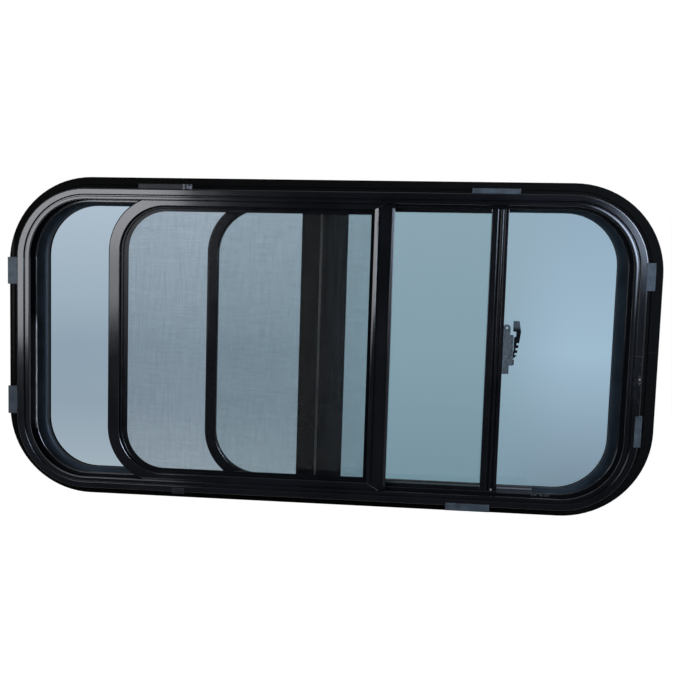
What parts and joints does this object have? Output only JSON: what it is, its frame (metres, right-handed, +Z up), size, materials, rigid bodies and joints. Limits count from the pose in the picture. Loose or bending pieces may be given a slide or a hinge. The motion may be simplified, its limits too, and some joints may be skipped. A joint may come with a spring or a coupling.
{
  "type": "caravan window",
  "caption": "Horizontal sliding caravan window: rounded black frame with a wall flange, fixed tinted pane, sliding glass sash with a latch, and a sliding fly screen.",
  "frame": {"origin": "centre of the window on the seat face of the outside flange, the face that lies on the wall's outer skin", "axes": "+X to the right as seen from indoors, +Z up, -Y into the room (the flange's seat faces -Y)"},
  "size_m": [0.9, 0.0582, 0.45],
  "materials": {
    "black_powder_coat": "satin black powder coat on extruded aluminium",
    "black_textured_coat": "matt black powder coat with a fine texture",
    "black_rubber": "black EPDM",
    "tinted_glass": "toughened glass with a light blue-grey tint",
    "grey_pile": "woven weather pile",
    "black_plastic": "moulded nylon",
    "grey_plastic": "slate grey packing plastic with pale edges",
    "white_nylon": "natural nylon",
    "grey_metal": "grey zinc die casting",
    "fly_mesh": "woven glass-fibre insect mesh"
  },
  "bodies": {
    "frame": {"outer_flange": "black_textured_coat", "body_wall": "black_textured_coat", "front_ring": "black_powder_coat", "track_rib": "black_powder_coat", "glazing_lip": "black_rubber", "fixed_glass": "tinted_glass", "centre_post": "black_powder_coat", "pile_strip": "grey_pile", "rib_buffer": "grey_plastic", "tab_left_upper": "grey_plastic", "tab_left_lower": "grey_plastic", "tab_right_upper": "grey_plastic", "tab_right_lower": "grey_plastic", "tab_top_left": "grey_plastic", "tab_top_right": "grey_plastic", "tab_bottom_left": "grey_plastic", "tab_bottom_right": "grey_plastic"},
    "sash": {"sash_bow": "black_powder_coat", "sash_stile": "black_powder_coat", "sash_glass": "tinted_glass", "sash_glides": "white_nylon", "latch_base": "grey_metal", "latch_pin": "grey_metal"},
    "latch": {"latch_lever": "black_plastic"},
    "screen": {"screen_bow": "black_powder_coat", "screen_stile": "black_powder_coat", "screen_mesh": "fly_mesh", "screen_spline": "black_rubber", "screen_glides": "white_nylon"}
  },
  "joints": [
    {"name": "sash_slide", "type": "slide", "parent": "frame", "child": "sash", "axis": [1, 0, 0], "range_m": [-0.2395, 0.091]},
    {"name": "latch_squeeze", "type": "hinge", "parent": "sash", "child": "latch", "pos_m": [0.252, -0.02525, -0.01], "axis": [0, -1, 0], "range_deg": [0, 8], "stiffness_Nm_per_rad": 1.2},
    {"name": "screen_slide", "type": "slide", "parent": "frame", "child": "screen", "axis": [1, 0, 0], "range_m": [-0.107, 0.237]}
  ]
}
